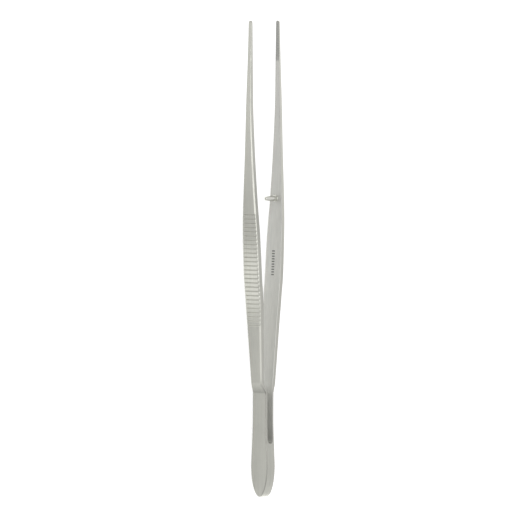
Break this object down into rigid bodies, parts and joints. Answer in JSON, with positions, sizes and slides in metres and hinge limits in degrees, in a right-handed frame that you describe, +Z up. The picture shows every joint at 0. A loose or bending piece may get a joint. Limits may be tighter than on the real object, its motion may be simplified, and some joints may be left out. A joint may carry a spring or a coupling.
{
  "type": "thumb forceps",
  "caption": "Long slender steel thumb forceps with cross-ridged grips, serrated straight jaws and a guide pin between sprung blades.",
  "frame": {"origin": "centre of the footprint, on the surface that the forceps lie on with their narrow edges down, midway along the length and on the mid-plane between the blades", "axes": "+X from the butt towards the tips, +Y from the pin arm towards the plain arm, +Z up across the blade width"},
  "size_m": [0.2, 0.0194, 0.0098],
  "materials": {
    "satin_steel": "satin, finely ground lengthwise",
    "turned_steel": "turned and lightly polished"
  },
  "bodies": {
    "pin_side": {"pin_arm": "satin_steel", "guide_pin": "turned_steel"},
    "plain_side": {"plain_arm": "satin_steel"}
  },
  "joints": [
    {"name": "squeeze", "type": "hinge", "parent": "pin_side", "child": "plain_side", "pos_m": [-0.0775, 0, 0.0049], "axis": [0, 0, -1], "range_deg": [0, 4.86], "stiffness_Nm_per_rad": 2.9}
  ]
}
